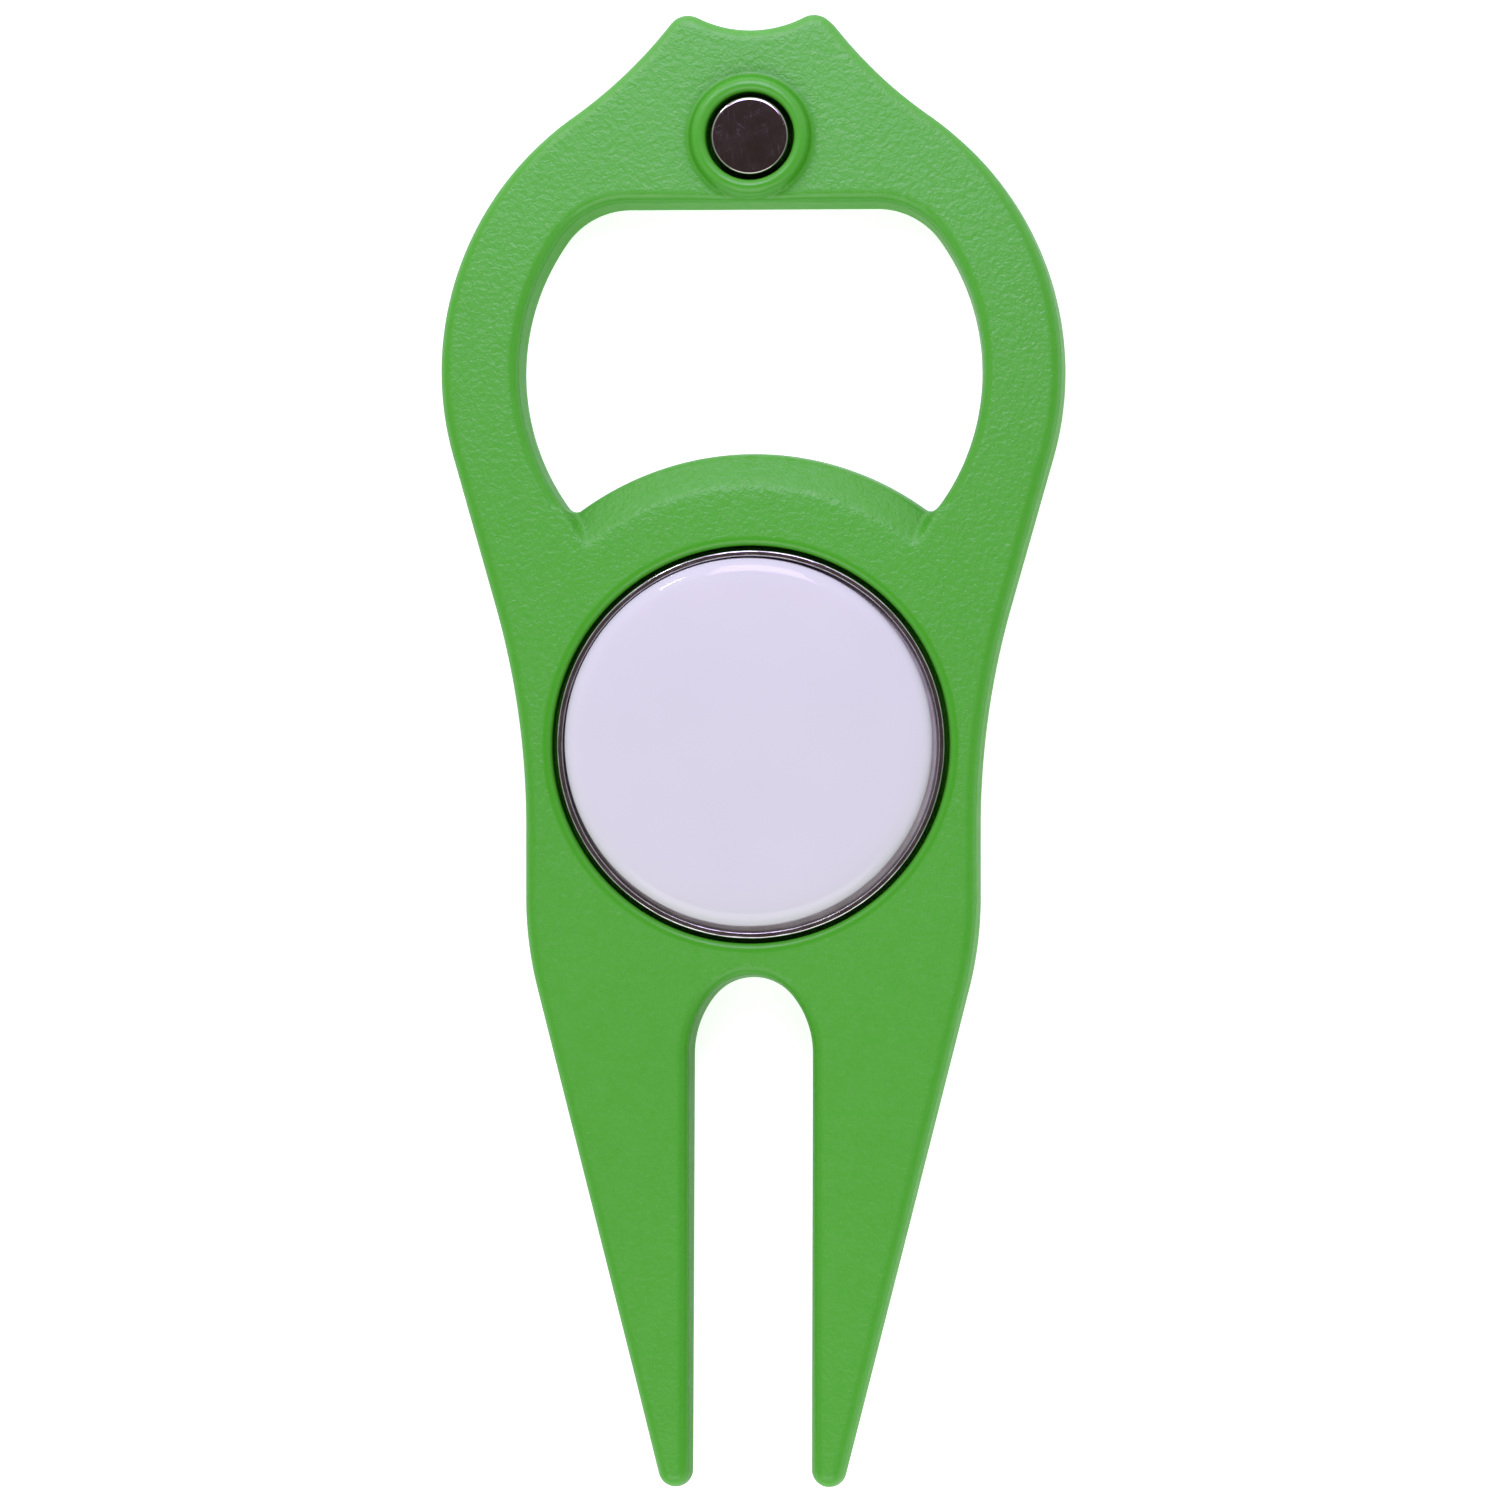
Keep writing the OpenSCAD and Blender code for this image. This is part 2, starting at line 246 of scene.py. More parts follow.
def bevel_drop(x, y):
    """How far the guard's bevel lies below the plate's face, with soft creases."""
    r = np.hypot(x - POCKET[0], y - POCKET[1])
    over = (r - BEVEL_R) * BEVEL_SLOPE
    drop = (over + np.sqrt(over * over + BEVEL_SOFT ** 2)) / 2
    drop = np.clip(drop - BEVEL_DIP, 0, BEVEL_DEEPEST)
    on_guard = (y > 5) * (r < GUARD_R + 0.7)
    return drop * smoothstep(*BEVEL_END_BLEND, bevel_inside(x, y)) * on_guard


def boss_rise(x, y):
    """How far the boss stands above the plate's face."""
    r = np.hypot(x - BOSS[0], y - BOSS[1])
    return np.interp(r, BOSS_PROFILE[:, 0], BOSS_PROFILE[:, 1] - PLATE_T, right=0.0)


def front(x, y):
    """The height of the front face."""
    return PLATE_T - bevel_drop(x, y) + boss_rise(x, y)


def back(y):
    """The back face, which rises along the prongs with a soft start."""
    over = (THIN_Y - y) * (PLATE_T - TIP_T) / (HALF_LENGTH + THIN_Y)
    return (over + np.sqrt(over * over + THIN_SOFT ** 2)) / 2


def lift(z, y):
    """Heights under the front edge, squeezed where the back has risen."""
    top = PLATE_T - FRONT_R
    b = back(y)
    return np.where(z >= top, z, b + z / top * (top - b))


# ---------------------------------------------------------------- the body's mesh


def edge_rows(points, normals, sign, radius):
    """Rows of one wall from the back face to the front face. sign is -1 for an outer wall, which moves in
    towards the front, and 1 for an opening, which grows. radius is the front edge's at each point."""
    rows = []
    beside = 0.06  # rows that hold a rounded edge's shape

    def face(p):
        return front(p[:, 0], p[:, 1])

    def add(d, z):
        p = points + sign * normals * np.broadcast_to(d, len(points))[:, None]
        rows.append(np.column_stack([p, z(p) if callable(z) else lift(np.full(len(p), z), p[:, 1])]))

    add(BACK_R + beside, 0.0)
    for a in np.radians(np.linspace(0, 90, 5)):
        add(BACK_R * (1 - math.sin(a)), BACK_R * (1 - math.cos(a)))
    add(0.0, BACK_R + beside)
    for t in (0.33, 0.67):
        add(FULL_DRAFT * t, lambda p, t=t: lift(BACK_R + t * (face(p) - radius - BACK_R), p[:, 1]))
    add(DRAFT * 3.3, lambda p: lift(face(p) - radius - 0.07, p[:, 1]))
    for a in np.radians(np.linspace(0, 90, 9)):
        add(FULL_DRAFT + radius * (1 - math.cos(a)), lambda p, a=a: face(p) - radius * (1 - math.sin(a)))
    add(FULL_DRAFT + radius + beside, face)
    inset = 0.09 + 0.21 * smoothstep(4.0 - HALF_LENGTH, 6.0 - HALF_LENGTH, points[:, 1])
    add(FULL_DRAFT + radius + inset, face)
    return rows


def circle_rows(centre, profile, count):
    """Rings of points round a centre, one for each radius and height of a profile."""
    ray = polar(np.arange(count) * 360 / count)
    return [np.column_stack([centre + r * ray, np.full(count, z)]) for r, z in profile]


def inside(loop, p):
    """Which points lie inside a closed loop."""
    a, b = loop, np.roll(loop, -1, 0)
    x, y = p[:, 0][:, None], p[:, 1][:, None]
    crosses = (a[:, 1] > y) != (b[:, 1] > y)
    with np.errstate(divide="ignore", invalid="ignore"):
        at = (b[:, 0] - a[:, 0]) * (y - a[:, 1]) / (b[:, 1] - a[:, 1]) + a[:, 0]
    return (crosses & (x < at)).sum(1) % 2 == 1


def far_from(p, others, gap, batch=500):
    """The points that lie farther than gap from all the others."""
    keep = np.ones(len(p), bool)
    for start in range(0, len(p), batch):
        d = np.linalg.norm(p[start:start + batch, None] - others[None], axis=2).min(1)
        keep[start:start + batch] = d > gap
    return p[keep]


def thin_out(p, gap):
    """Points in order, without any that is closer than gap to an earlier one."""
    kept, cells = [], {}
    for q in p:
        key = (math.floor(q[0] / gap), math.floor(q[1] / gap))
        near = (cells.get((key[0] + i, key[1] + j)) for i in (-1, 0, 1) for j in (-1, 0, 1))
        if all(c is None or math.dist(c, q) >= gap for c in near):
            cells[key] = q
            kept.append(q)
    return np.array(kept)


def relief_points():
    """Points that follow the bevel's creases, its end walls and the boss, then a coarse grid."""
    found = []
    for dr in (0, -0.1, 0.1, -0.2, 0.2, -0.34, 0.34, 0.7, 1.1, 1.5, 1.9):
        r = BEVEL_R + dr
        found.append(POCKET + r * polar(np.arange(45, 135.01, 0.9)))
    for s in np.arange(-0.45, 0.85, 0.12):
        for t in np.arange(-3.6, 1.2, 0.16):
            p = BEVEL_END + BEVEL_ALONG * t - BEVEL_OUTWARD * s
            found.append([p, p * [-1, 1]])
    for r in (*BOSS_PROFILE[1:, 0], *(BOSS_R + np.array([0.16, 0.28, 0.4, 0.55, 0.75]))):
        found.append(BOSS + r * polar(np.arange(0, 360, 3)))
    rows = np.arange(-HALF_LENGTH, HALF_LENGTH, 1.1)
    for i, y in enumerate(rows):
        x = np.arange(-21, 21, 1.3) + (i % 2) * 0.65
        found.append(np.column_stack([x, np.full(len(x), y)]))
    return thin_out(np.concatenate([np.asarray(f).reshape(-1, 2) for f in found]), 0.085)


def material_region(tris, walls, verts):
    """Of triangles that fill a hull, the largest region closed in by the walls that touches all of them."""
    by_edge = {}
    for n, t in enumerate(tris):
        for a, b in zip(t, t[1:] + t[:1]):
            by_edge.setdefault(frozenset((a, b)), []).append(n)
    region = [-1] * len(tris)
    regions = []
    for seed in range(len(tris)):
        if region[seed] >= 0:
            continue
        region[seed] = len(regions)
        members, met = [seed], set()
        for n in members:
            t = tris[n]
            for a, b in zip(t, t[1:] + t[:1]):
                edge = frozenset((a, b))
                if edge in walls:
                    met.add(edge)
                    continue
                for other in by_edge[edge]:
                    if region[other] < 0:
                        region[other] = len(regions)
                        members.append(other)
        regions.append((len(met), members))
    return [tris[n] for n in max(regions, key=lambda r: r[0])[1]]


def body_mesh():
    """The moulded body: two walls, the pocket and the bore as rows of points, and caps between them."""
    verts, faces = [], []

    def add_rows(rows):
        """Adds rows of vertices and the strips of faces between them."""
        starts = []
        for row in rows:
            starts.append(len(verts))
            verts.extend(map(tuple, row))
        n = len(rows[0])
        for a, b in zip(starts, starts[1:]):
            for i in range(n):
                j = (i + 1) % n
                faces.append((a + i, a + j, b + j, b + i))
        return [np.arange(s, s + n) for s in starts]

    def cap(loops, extra, height):
        """Fills between loops of vertices that are already there, with extra points on the given height."""
        flat = np.array([v[:2] for v in verts])
        ids = np.concatenate(loops)
        rims = [flat[l] for l in loops]
        extra = extra[inside(rims[0], extra)]
        for rim in rims[1:]:
            extra = extra[~inside(rim, extra)]
        extra = far_from(extra, np.concatenate(rims), 0.1)
        first = len(verts)
        verts.extend(zip(extra[:, 0], extra[:, 1], height(extra)))
        ids = np.concatenate([ids, np.arange(first, first + len(extra))])
        points = [Vector(verts[i][:2]) for i in ids]
        edges, at = [], 0
        for l in loops:
            edges += [(at + i, at + (i + 1) % len(l)) for i in range(len(l))]
            at += len(l)
        _, _, tris, orig, _, _ = delaunay_2d_cdt(points, edges, [], 0, 1e-7)
        source = [ids[o[0]] for o in orig]
        walls = {frozenset((ids[a], ids[b])) for a, b in edges}
        faces.extend(material_region([tuple(source[i] for i in t) for t in tris], walls, verts))

    p, n = PLATE_LOOP
    outer = add_rows(edge_rows(p, n, -1, np.full(len(p), FRONT_R)))

    p, n = OPENING_LOOP
    drop = bevel_drop(p[:, 0], p[:, 1])
    near_boss = np.exp(-(p[:, 0] / 2.8) ** 2) * (p[:, 1] > LIP_Y - 1)
    radius = FRONT_R - 0.5 * smoothstep(0, 1, drop) - 0.38 * near_boss
    opening = add_rows(edge_rows(p, n, 1, radius))

    quarter = np.radians(np.linspace(90, 0, 7))
    foot = np.radians(np.linspace(0, 90, 4))
    recess_r, recess_z = DISC_R + RECESS_GAP, DISC_LO[2] - GLUE_T
    profile = [(POCKET_R + RIM_R + dr, PLATE_T) for dr in (0.35, 0.2, 0.05)]
    profile += [(POCKET_R + RIM_R * (1 - math.cos(a)), PLATE_T - RIM_R * (1 - math.sin(a))) for a in quarter]
    profile += [(POCKET_R, POCKET_FLOOR + 0.3)]
    profile += [(POCKET_R - 0.2 * (1 - math.cos(a)), POCKET_FLOOR + 0.2 * (1 - math.sin(a))) for a in foot]
    profile += [(9.0, POCKET_FLOOR), (recess_r + 0.12, POCKET_FLOOR), (recess_r, POCKET_FLOOR - 0.12)]
    profile += [(recess_r, recess_z + 0.1), (recess_r - 0.1, recess_z), (0.02, recess_z)]
    pocket = add_rows(circle_rows(POCKET, profile, 240))
    faces.append(tuple(pocket[-1]))

    rho = CREST_R - BORE_R
    bore_z = CAP_LO[2] - GLUE_T
    profile = [(CREST_R, BOSS_TOP)]
    turn = np.radians(np.linspace(90, 180, 9))[1:]
    profile += [(CREST_R + rho * math.cos(a), BOSS_TOP - rho + rho * math.sin(a)) for a in turn]
    profile += [(BORE_R, bore_z + 0.1), (BORE_R - 0.1, bore_z), (0.02, bore_z)]
    bore = add_rows(circle_rows(BOSS, profile, 120))
    faces.append(tuple(bore[-1]))

    grid = relief_points()
    cap([outer[-1], opening[-1], pocket[0], bore[0]], grid, lambda q: front(q[:, 0], q[:, 1]))
    rows = np.concatenate([np.arange(-HALF_LENGTH, HALF_LENGTH, 1.5), THIN_Y + np.arange(-0.9, 1, 0.3)])
    plain = np.concatenate([np.column_stack([np.arange(-21, 21, 1.5), np.full(28, y)]) for y in rows])
    cap([outer[0], opening[0]], thin_out(plain, 0.2), lambda q: back(q[:, 1]))
    return verts, faces


def grain_strength(points):
    """How strong the moulded grain is at each vertex: none on walls, rounded edges and the boss."""
    x, y = points[:, 0], points[:, 1]
    below = front(x, y) - points[:, 2]
    strength = 1 - smoothstep(0.0, 0.05 + 0.25 * smoothstep(36, 42, y), below)
    strength *= smoothstep(BOSS_R + 0.05, BOSS_R + 0.5, np.hypot(x - BOSS[0], y - BOSS[1]))
    strength *= smoothstep(POCKET_R + RIM_R, POCKET_R + RIM_R + 0.2, np.hypot(x - POCKET[0], y - POCKET[1]))
    return strength * (1 - 0.35 * smoothstep(0.0, 0.4, bevel_drop(x, y)))


def painted_gap_shade(points):
    """Painted shade at each vertex, deepening with depth below the face: the gap round the marker and the walls of
    the slot are the darkest.
    """
    x, y, z = points.T
    pocket = np.hypot(x - POCKET[0], y - POCKET[1]) < POCKET_R + RIM_R
    slot = (np.abs(x) < SLOT_HALF + 0.9) & (y < SLOT_C[1] + SLOT_END_R + 0.9)
    return np.where(pocket & (z > 1) | slot, smoothstep(0.3, 0.8, PLATE_T - z), 0)


def make(name, verts, faces, sharp=None):
    """An object from vertices in millimetres, smooth but for edges sharper than an angle."""
    mesh = bpy.data.meshes.new(name)
    mesh.from_pydata([(x * MM, y * MM, z * MM) for x, y, z in verts], [], [tuple(map(int, f)) for f in faces])
    bm = bmesh.new()
    bm.from_mesh(mesh)
    bmesh.ops.recalc_face_normals(bm, faces=bm.faces)
    bm.to_mesh(mesh)
    bm.free()
    mesh.shade_smooth()
    if sharp is not None:
        mesh.set_sharp_from_angle(angle=math.radians(sharp))
    obj = bpy.data.objects.new(name, mesh)
    bpy.context.scene.collection.objects.link(obj)
    return obj


def lathe(name, centre, profile, count, sharp=40):
    """A solid of revolution: profile runs from the axis at the bottom to the axis at the top."""
    verts, faces, rings = [], [], []
    ray = polar(np.arange(count) * 360 / count)
    for r, z in profile:
        if r == 0:
            rings.append([len(verts)])
            verts.append((centre[0], centre[1], z))
        else:
            rings.append(list(range(len(verts), len(verts) + count)))
            verts.extend((centre[0] + r * c, centre[1] + r * s, z) for c, s in ray)
    for a, b in zip(rings, rings[1:]):
        for i in range(count):
            j = (i + 1) % count
            if len(a) == 1:
                faces.append((a[0], b[j], b[i]))
            elif len(b) == 1:
                faces.append((a[i], a[j], b[0]))
            else:
                faces.append((a[i], a[j], b[j], b[i]))
    return make(name, verts, faces, sharp)


def arc(r, z, radius, a0, a1, n=6):
    """Points of a profile along an arc round (r, z)."""
    return [
        (r + radius * math.cos(math.radians(a)), z + radius * math.sin(math.radians(a)))
        for a in np.linspace(a0, a1, n + 1)
    ]


body_verts, body_faces = body_mesh()
body = make("moulded_body", body_verts, body_faces)
# The grain's strength, and painted shade for the gap round the marker and the slot
for name, values in (("grain", grain_strength), ("painted_gap_shade", painted_gap_shade)):
    body.data.attributes.new(name, "FLOAT", "POINT").data.foreach_set("value", values(np.array(body_verts)))


def disc_profile(r, z0, z1, edge, widen=1.7):
    """A disc with rounded edges. The top one is widened across."""
    top = [(r - widen * edge + widen * (x - r + edge), z) for x, z in arc(r - edge, z1 - edge, edge, 0, 90, 8)]
    rings = [(0, z0), (r * 0.5, z0)] + arc(r - edge, z0 + edge, edge, -90, 0) + top
    return rings + [(r - widen * edge - 0.05, z1), (r * 0.5, z1), (0, z1)]


cap_magnet = lathe("cap_magnet_disc", BOSS, disc_profile(CAP_R, CAP_LO[2], CAP_HI[2], 0.13), 160)
under_magnet = lathe("marker_magnet_disc", POCKET, disc_profile(DISC_R, DISC_LO[2], DISC_HI[2], 0.2), 160)

MID_R = 6  # a ring half way across the marker's flat faces


def coin_profile():
    """The coin's rounded foot, rolled rim with a flat band, cove and tray."""
    z0, z1 = COIN_LO[2], COIN_HI[2]
    foot_r, roll_r, lip_r, cove_r = 0.25, 0.13, 0.10, 0.18
    profile = [(0, z0), (MID_R, z0)] + arc(COIN_R - foot_r, z0 + foot_r, foot_r, -90, 0)
    profile += [(COIN_R, z1 - 0.3)] + arc(COIN_R - roll_r, z1 - 0.14, roll_r, 0, 86)
    profile += [(COIN_R - 0.2, z1 - 0.006), (COIN_R - 0.27, z1 - 0.008)]
    profile += arc(COIN_R - 0.30, z1 - 0.108, lip_r, 86, 160, 5)
    profile += arc(COIN_R - 0.60, TRAY_Z + cove_r, cove_r, -20, -90, 7)
    return profile + [(COIN_R - 1.0, TRAY_Z), (MID_R, TRAY_Z), (0, TRAY_Z)]


def label_profile():
    low, high = LABEL_LO[2], LABEL_HI[2]
    return [(0, low), (MID_R, low), (LABEL_R, low), (LABEL_R, high), (MID_R, high), (0, high)]


def dome_profile():
    """A poured dome: nearly flat, with a steep soft edge that stays just off the label."""
    z0 = DOME_LO[2] + 0.01
    rise = DOME_HI[2] - z0
    profile = [(0, z0), (MID_R, z0)]
    for u in np.concatenate([np.linspace(1, 0.96, 14), np.linspace(0.955, 0.85, 12), np.linspace(0.83, 0.03, 24)]):
        profile.append((LABEL_R * u, z0 + rise * (1 - u ** 16) ** 0.5))
    return profile + [(0, DOME_HI[2])]


coin = lathe("marker_coin_tray", POCKET, coin_profile(), 360, 50)
label = lathe("marker_label_disc", LABEL_C, label_profile(), 240)
dome = lathe("marker_resin_dome", LABEL_C, dome_profile(), 240)

# ---------------------------------------------------------------- materials


class Nodes:
    """A node tree, with short names for what the materials and the world below use."""

    def __init__(self, tree):
        self.tree = tree

    def feed(self, socket, value):
        """Links another node's output to a socket, or sets the socket's own value."""
        if isinstance(value, bpy.types.NodeSocket):
            self.tree.links.new(value, socket)
        else:
            socket.default_value = value

    def node(self, kind, inputs=None, **settings):
        n = self.tree.nodes.new("ShaderNode" + kind)
        for k, v in settings.items():
            setattr(n, k, v)
        for k, v in (inputs or {}).items():
            self.feed(n.inputs[k], v)
        return n

    def math(self, op, a, b=0.0):
        return self.node("Math", {0: a, 1: b}, operation=op).outputs[0]

    def times(self, *factors):
        product = factors[0]
        for factor in factors[1:]:
            product = self.math("MULTIPLY", product, factor)
        return product

    def vector(self, op, a, b, output="Vector"):
        return self.node("VectorMath", {0: a, 1: b}, operation=op).outputs[output]

    def scaled(self, colour, factor):
        return self.node("VectorMath", {0: colour, "Scale": factor}, operation="SCALE").outputs[0]

    def part(self, vector, axis):
        return self.node("SeparateXYZ", {"Vector": vector}).outputs[axis]

    def ramp(self, fac, stops):
        n = self.node("ValToRGB", {"Fac": fac})
        while len(n.color_ramp.elements) < len(stops):
            n.color_ramp.elements.new(0.5)
        for e, (at, colour) in zip(n.color_ramp.elements, stops):
            e.position = at
            e.color = (*colour, 1)
        return n.outputs["Color"]

    def range(self, value, lo, hi, to_lo, to_hi):
        return self.node(
            "MapRange", {"Value": value, "From Min": lo, "From Max": hi, "To Min": to_lo, "To Max": to_hi}
        ).outputs["Result"]


class Material(Nodes):
    """A material round one Principled shader, with textures placed by the object's own coordinates."""

    def __init__(self, name):
        self.mat = bpy.data.materials.new(name)
        self.mat.use_nodes = True
        super().__init__(self.mat.node_tree)
        self.shader = next(n for n in self.tree.nodes if n.type == "BSDF_PRINCIPLED")
        texture = self.node("TexCoord")
        self.coords, self.normals = texture.outputs["Object"], texture.outputs["Normal"]

    def noise(self, scale, detail=2.0, rough=0.5, vector=None, distortion=0.0):
        return self.node("TexNoise", {
            "Vector": vector or self.coords,
            "Scale": scale,
            "Detail": detail,
            "Roughness": rough,
            "Distortion": distortion,
        }).outputs["Fac"]

    def flat_from(self, centre):
        """The way from an upright axis to the shaded point."""
        away = self.vector("ADD", self.coords, (-centre[0] * MM, -centre[1] * MM, 0))
        return self.vector("MULTIPLY", away, (1, 1, 0))

    def bump(self, height, distance, strength=1.0):
        n = self.node("Bump", {"Height": height, "Distance": distance, "Strength": strength})
        return n.outputs["Normal"]

    def set(self, **inputs):
        for k, v in inputs.items():
            self.feed(self.shader.inputs[k.replace("_", " ")], v)
        return self.mat


def plastic():
    """Moulded polypropylene: a fine leathery grain on the flat faces, smooth on rounded edges, with painted shade
    in its gaps, on its walls and on its smooth edges.
    """
    m = Material("moulded_plastic")
    grain = m.node("Attribute", attribute_name="grain").outputs["Fac"]
    # Painted shade, deepest in the gap round the marker and on the slot's walls
    gap_shaded = m.node("Attribute", attribute_name="painted_gap_shade").outputs["Fac"]
    along = m.part(m.coords, "Y")
    wall = m.range(m.math("ABSOLUTE", m.part(m.normals, "Z")), 0.15, 0.75, 1, 0)
    head = m.range(along, 0.028, 0.038, 0, 1)

    leather = m.noise(2900, 2, 0.45, distortion=0.5)
    folds = m.node("TexVoronoi", {"Vector": m.coords, "Scale": 4000.0}, feature="DISTANCE_TO_EDGE")
    height = m.math("SUBTRACT", leather, 0.5)
    height = m.math("ADD", height, m.times(m.math("SUBTRACT", folds.outputs["Distance"], 0.2), 0.2))
    height = m.math("ADD", height, m.times(m.math("SUBTRACT", m.noise(7000, 1), 0.5), 0.06))
    depth = m.times(m.range(head, 0, 1, 1.0, 0.8), m.range(along, -0.020, 0.0, 0.6, 1.0))
    height = m.times(height, grain, depth)

    tone = m.math("ADD", m.times(m.noise(60, 3), 0.6), m.times(leather, 0.4))
    green = m.ramp(tone, [(0.3, (0.063, 0.355, 0.0195)), (0.7, (0.068, 0.380, 0.022))])
    # Painted shade in the base colour: darkest in the marker's gap and on the slot's walls, darker on steep walls,
    # and a little darker on the smooth rounded edges and the boss
    dark = m.times(
        m.range(gap_shaded, 0, 1, 1.0, 0.85),
        m.range(wall, 0, 1, 1.0, 0.85),
        m.range(grain, 0, 1, 0.95, 1.0),
    )
    gloss = m.times(
        m.range(grain, 0, 1, 0.40, 0.78),
        m.range(m.noise(1300, 2), 0.3, 0.7, 0.88, 1.12),
        m.range(along, 0.012, 0.036, 0.93, 1.16),
        m.range(wall, 0, 0.8, 1.0, 0.02),
    )
    rough = m.math("ADD", m.range(grain, 0, 1, 0.30, 0.48), m.times(head, 0.03))
    return m.set(
        Base_Color=m.scaled(green, dark),
        Roughness=m.math("ADD", rough, m.range(m.noise(800, 2), 0.3, 0.7, -0.02, 0.03)),
        IOR=1.5,
        Specular_IOR_Level=gloss,
        Normal=m.bump(height, 0.000108),
    )


def nickel_finish(m, tint, rough, marks, marks_depth, extra=0.0):
    """Bright nickel with smudges and the given marks, with painted shade darkening its rounded edges. extra is
    added roughness.
    """
    smudge = m.noise(700, 3, 0.6)
    dull = m.math("ADD", m.range(smudge, 0.35, 0.7, rough, rough * 1.5), m.times(marks, 0.08))
    bright = m.ramp(smudge, [(0.3, tuple(c * 0.9 for c in tint)), (0.7, tint)])
    # Painted shade: the colour darkens where the surface turns away from upright, on rounded edges
    edge_shade = m.range(m.part(m.normals, "Z"), 0.95, 0.995, 0.6, 1.0)
    return m.set(
        Base_Color=m.scaled(bright, edge_shade),
        Metallic=1.0,
        Roughness=m.math("ADD", dull, extra),
        Normal=m.bump(marks, marks_depth),
    )


def scratched_nickel(name, tint, rough):
    """Nickel plate with faint hairline scratches in several directions, and specks."""
    m = Material(name)
    marks = m.range(m.noise(9500, 1), 0.68, 0.80, 0, 1)
    for angle, width, length, rarity in ((83, 17000, 700, 0.62), (38, 19000, 900, 0.67), (-24, 18000, 800, 0.67)):
        turned = m.node("Mapping", {"Vector": m.coords, "Rotation": (0, 0, math.radians(angle))}).outputs[0]
        line = m.node("Mapping", {"Vector": turned, "Scale": (length, width, 1), "Location": (angle, 0, 0)})
        marks = m.math("ADD", marks, m.range(m.noise(1.0, 0, 0.5, line.outputs[0]), rarity, 0.86, 0, 1))
    return nickel_finish(m, tint, rough, marks, 0.0000006)


def turned_nickel(name, tint, rough):
    """Nickel plate with broken streaks that run round the pocket's axis, and a duller tray."""
    m = Material(name)
    flat = m.flat_from(POCKET)
    unit = m.node("VectorMath", {0: flat}, operation="NORMALIZE").outputs[0]
    radius = m.node("VectorMath", {0: flat}, operation="LENGTH").outputs["Value"]
    spread = m.vector("MULTIPLY", unit, (7.0, 7.0, 0.0))
    rings = m.node("CombineXYZ", {"Z": m.times(radius, 14000)}).outputs[0]
    streaks = m.range(m.noise(1.0, 2, 0.6, m.vector("ADD", spread, rings)), 0.45, 0.75, 0, 1)
    tray = m.range(radius, (COIN_R - 0.5) * MM, (COIN_R - 0.3) * MM, 0.35, 0)
    return nickel_finish(m, tint, rough, streaks, 0.000004, tray)


def resin():
    """Poured resin, nearly clear, over a white label: smooth with a slow swell and a few specks of dust."""
    m = Material("clear_dome_resin")
    swell = m.noise(120, 2, 0.4)
    dust = m.range(m.noise(5200, 1), 0.74, 0.8, 0, 1)
    colour = m.ramp(m.noise(180, 2), [(0.3, (0.713, 0.706, 0.757)), (0.7, (0.728, 0.720, 0.772))])
    return m.set(
        Base_Color=colour,
        Roughness=m.math("ADD", m.range(m.noise(300, 3), 0.3, 0.7, 0.045, 0.07), m.times(dust, 0.2)),
        IOR=1.52,
        Specular_IOR_Level=0.36,
        Alpha=0.92,
        Normal=m.bump(swell, 0.00002, 0.25),
    )


def printed():
    """White print on a disc, with a thin toned rim where the film was cut."""
    m = Material("label_print")
    radius = m.node("VectorMath", {0: m.flat_from(LABEL_C)}, operation="LENGTH").outputs["Value"]
    rim = m.range(radius, (LABEL_R - 0.1) * MM, (LABEL_R - 0.03) * MM, 0, 1)
    paper = m.range(m.noise(4000, 3), 0.3, 0.7, 0, 0.08)
    colour = m.ramp(m.math("ADD", rim, paper), [
        (0.0, (0.78, 0.745, 0.90)),
        (0.12, (0.76, 0.73, 0.88)),
        (1.0, (0.34, 0.28, 0.26)),
    ])
    return m.set(Base_Color=colour, Roughness=m.range(m.noise(2500, 2), 0.3, 0.7, 0.45, 0.6))


def glue(name, tint):
    """Set glue, uneven and half glossy."""
    m = Material(name)
    colour = m.ramp(m.noise(900, 3), [(0.3, tuple(c * 0.85 for c in tint)), (0.7, tint)])
    return m.set(
        Base_Color=colour,
        Roughness=m.range(m.noise(1500, 2), 0.3, 0.7, 0.2, 0.4),
        Normal=m.bump(m.noise(1200, 2), 0.00004, 0.5),
    )


def paint(obj, mat):
    obj.data.materials.clear()
    obj.data.materials.append(mat)


paint(body, plastic())
paint(cap_magnet, scratched_nickel("cap_magnet_nickel", (0.62, 0.57, 0.55), 0.07))
paint(under_magnet, scratched_nickel("marker_magnet_nickel", (0.66, 0.64, 0.62), 0.14))
paint(coin, turned_nickel("coin_nickel", (0.80, 0.76, 0.78), 0.13))
paint(label, printed())
paint(dome, resin())
paint(nodes["cap_magnet_glue"], glue("cap_magnet_epoxy", (0.62, 0.56, 0.38)))
paint(nodes["marker_magnet_glue"], glue("marker_magnet_epoxy", (0.60, 0.55, 0.40)))
paint(nodes["marker_adhesive"], glue("label_adhesive", (0.70, 0.66, 0.55)))

for piece, node, owner, slot in (
    (body, "tool_body", "tool", "body"),
    (cap_magnet, "cap_magnet", "tool", "magnet"),
    (under_magnet, "marker_magnet", "tool", "magnet"),
    (coin, "marker_coin", "marker", "coin"),
    (label, "marker_label", "marker", "label"),
    (dome, "marker_dome", "marker", "dome"),
):
    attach(piece, owner)
    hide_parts(node)

# ---------------------------------------------------------------- floor, light and camera

scene = bpy.context.scene
scene.view_settings.view_transform = "Standard"

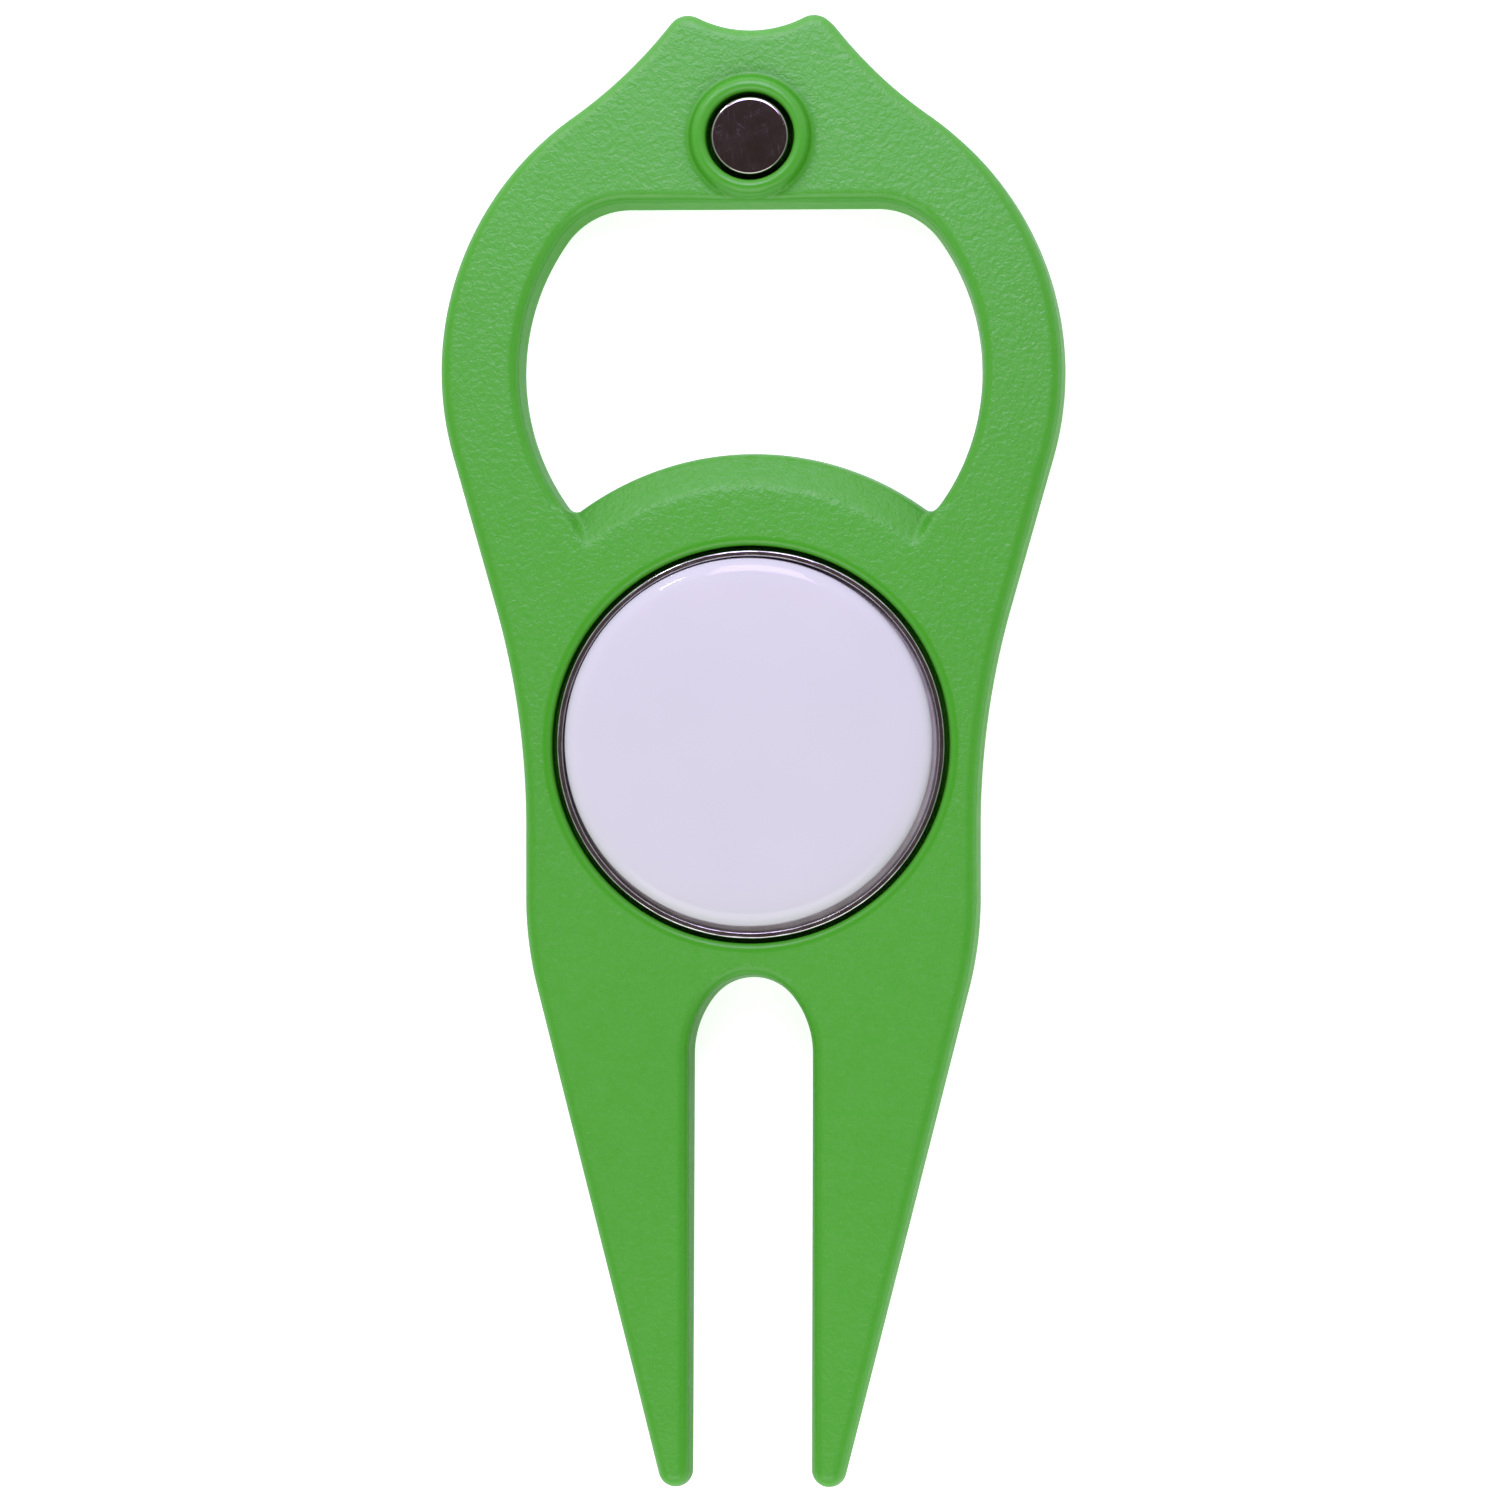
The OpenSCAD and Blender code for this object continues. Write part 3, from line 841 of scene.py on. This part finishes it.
FLOOR_HALF = 2
corners = [(x * FLOOR_HALF, y * FLOOR_HALF, 0) for x, y in ((-1, -1), (1, -1), (1, 1), (-1, 1))]
floor_mesh = bpy.data.meshes.new("floor")
floor_mesh.from_pydata(corners, [], [(0, 1, 2, 3)])
floor = bpy.data.objects.new("floor", floor_mesh)
scene.collection.objects.link(floor)
paper = Material("floor_paper")
paint(floor, paper.set(
    Base_Color=paper.ramp(paper.noise(40, 2), [(0.3, (0.90, 0.90, 0.905)), (0.7, (0.92, 0.92, 0.92))]),
    Roughness=0.9,
    Specular_IOR_Level=0.2,
    Emission_Color=(1.0, 1.0, 1.0, 1.0),
    Emission_Strength=0.6,
))

# A pale room, brighter towards the crown and the prongs than across, under a dark ceiling
world = bpy.data.worlds.new("studio")
world.use_nodes = True
scene.world = world
sky = Nodes(world.node_tree)
way = sky.node("TexCoord").outputs["Generated"]
sky_colour = sky.ramp(sky.part(way, "Z"), [
    (0.0, (0.86, 0.86, 0.90)),
    (0.35, (1.0, 1.0, 1.03)),
    (0.78, (1.0, 0.99, 1.03)),
    (0.89, (0.080, 0.058, 0.056)),
])
side = sky.vector("DOT_PRODUCT", way, (-0.35, 0.94, 0.0), "Value")
across_y = sky.math("ABSOLUTE", sky.part(way, "Y"))
background = sky.tree.nodes["Background"]
sky.feed(background.inputs["Color"], sky_colour)
sky.feed(
    background.inputs["Strength"],
    sky.times(sky.range(side, -0.8, 0.8, 0.81, 1.19), sky.range(across_y, 0.1, 0.85, 0.6, 1.2)),
)


def softbox(name, place, size, power, aim, colour=(1, 1, 1)):
    """A rectangular light that points at a spot and isn't seen itself."""
    data = bpy.data.lights.new(name, "AREA")
    data.shape = "RECTANGLE"
    data.size, data.size_y = size
    data.energy = power
    data.color = colour
    light = bpy.data.objects.new(name, data)
    light.location = place
    light.rotation_mode = "QUATERNION"
    light.rotation_quaternion = (Vector(aim) - Vector(place)).to_track_quat("-Z", "Y")
    light.visible_camera = False
    scene.collection.objects.link(light)


softbox("key", (0.0, 0.088, 0.082), (0.045, 0.05), 0.057, (0, 0.03, 0), (0.68, 0.52, 1.0))
softbox("side", (-0.054, 0.100, 0.080), (0.016, 0.016), 0.016, (0, 0.02, 0), (0.9, 0.9, 1.0))
softbox("fill", (0.0, -0.15, 0.12), (0.25, 0.12), 0.155, (0, -0.03, 0))

DISTANCE, VIEW_WIDTH, SENSOR = 0.5, 0.0966, 36
aim = Vector((-0.0001, -0.00004, 0.003))
tilt_x, tilt_y = math.radians(3.4), math.radians(-1.2)
cam_data = bpy.data.cameras.new("camera")
cam_data.sensor_width = SENSOR
cam_data.lens = SENSOR * DISTANCE / VIEW_WIDTH
cam_data.clip_start, cam_data.clip_end = 0.01, 10
cam = bpy.data.objects.new("camera", cam_data)
scene.collection.objects.link(cam)
scene.camera = cam
back_way = Vector((math.tan(tilt_x), math.tan(tilt_y), 1)).normalized()
across = Vector((0, 1, 0)).cross(back_way).normalized()
cam.location = aim + back_way * DISTANCE
cam.rotation_mode = "QUATERNION"
cam.rotation_quaternion = Matrix((across, back_way.cross(across), back_way)).transposed().to_quaternion()
